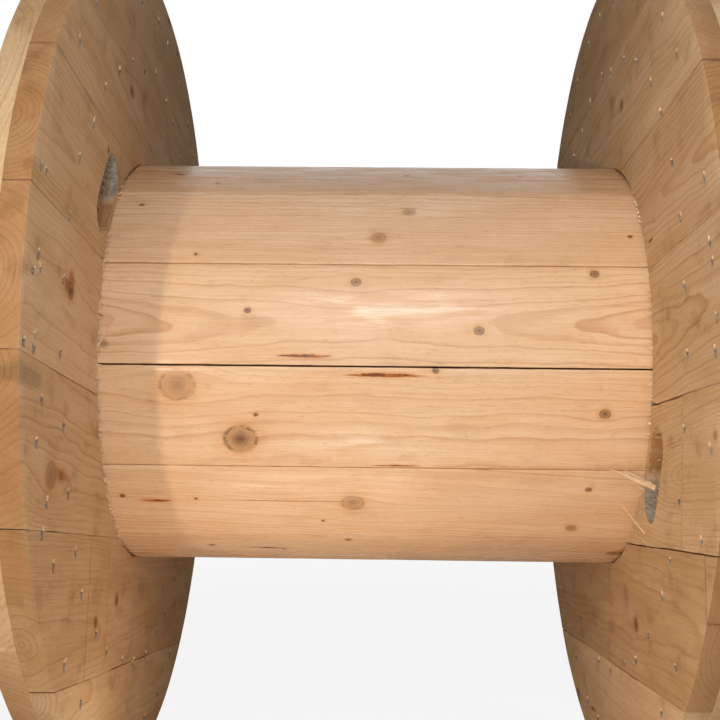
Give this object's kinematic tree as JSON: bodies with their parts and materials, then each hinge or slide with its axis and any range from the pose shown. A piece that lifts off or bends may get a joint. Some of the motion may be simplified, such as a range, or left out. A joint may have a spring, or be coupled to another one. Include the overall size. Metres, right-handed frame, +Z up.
{
  "type": "wooden cable drum",
  "caption": "Softwood cable drum with two crossed-board flanges, a barrel of staves, a spindle hole, driving holes and ramped slots for the cable's inner end.",
  "frame": {"origin": "on the spindle axis, halfway between the flanges", "axes": "+X along the spindle axis from the left flange to the right flange, +Z up as the drum lies"},
  "size_m": [0.7246, 1, 1],
  "materials": {
    "flange_boards": "sawn spruce boards, planed on the inner face, weathered to a warm tan with grey dirt",
    "staves": "planed spruce staves, lightly worn, with knots and resin pockets",
    "steel": "plain steel with a dull zinc coat"
  },
  "bodies": {
    "root": {"left_inner_board_middle": "flange_boards", "left_inner_board_low_1": "flange_boards", "left_inner_board_low_2": "flange_boards", "left_inner_board_low_3": "flange_boards", "left_inner_board_high_1": "flange_boards", "left_inner_board_high_2": "flange_boards", "left_inner_board_high_3": "flange_boards", "left_outer_board_middle": "flange_boards", "left_outer_board_back_1": "flange_boards", "left_outer_board_back_2": "flange_boards", "left_outer_board_back_3": "flange_boards", "left_outer_board_front_1": "flange_boards", "left_outer_board_front_2": "flange_boards", "left_outer_board_front_3": "flange_boards", "right_inner_board_middle": "flange_boards", "right_inner_board_low_1": "flange_boards", "right_inner_board_low_2": "flange_boards", "right_inner_board_low_3": "flange_boards", "right_inner_board_high_1": "flange_boards", "right_inner_board_high_2": "flange_boards", "right_inner_board_high_3": "flange_boards", "right_outer_board_middle": "flange_boards", "right_outer_board_back_1": "flange_boards", "right_outer_board_back_2": "flange_boards", "right_outer_board_back_3": "flange_boards", "right_outer_board_front_1": "flange_boards", "right_outer_board_front_2": "flange_boards", "right_outer_board_front_3": "flange_boards", "stave_01": "staves", "stave_02": "staves", "stave_03": "staves", "stave_04": "staves", "stave_05": "staves", "stave_06": "staves", "stave_07": "staves", "stave_08": "staves", "stave_09": "staves", "stave_10": "staves", "stave_11": "staves", "stave_12": "staves", "stave_13": "staves", "stave_14": "staves", "left_washer_1": "steel", "right_washer_1": "steel", "tie_bolt_1": "steel", "bolt_nut_1": "steel", "left_washer_2": "steel", "right_washer_2": "steel", "tie_bolt_2": "steel", "bolt_nut_2": "steel", "left_washer_3": "steel", "right_washer_3": "steel", "tie_bolt_3": "steel", "bolt_nut_3": "steel", "left_washer_4": "steel", "right_washer_4": "steel", "tie_bolt_4": "steel", "bolt_nut_4": "steel"}
  },
  "joints": []
}
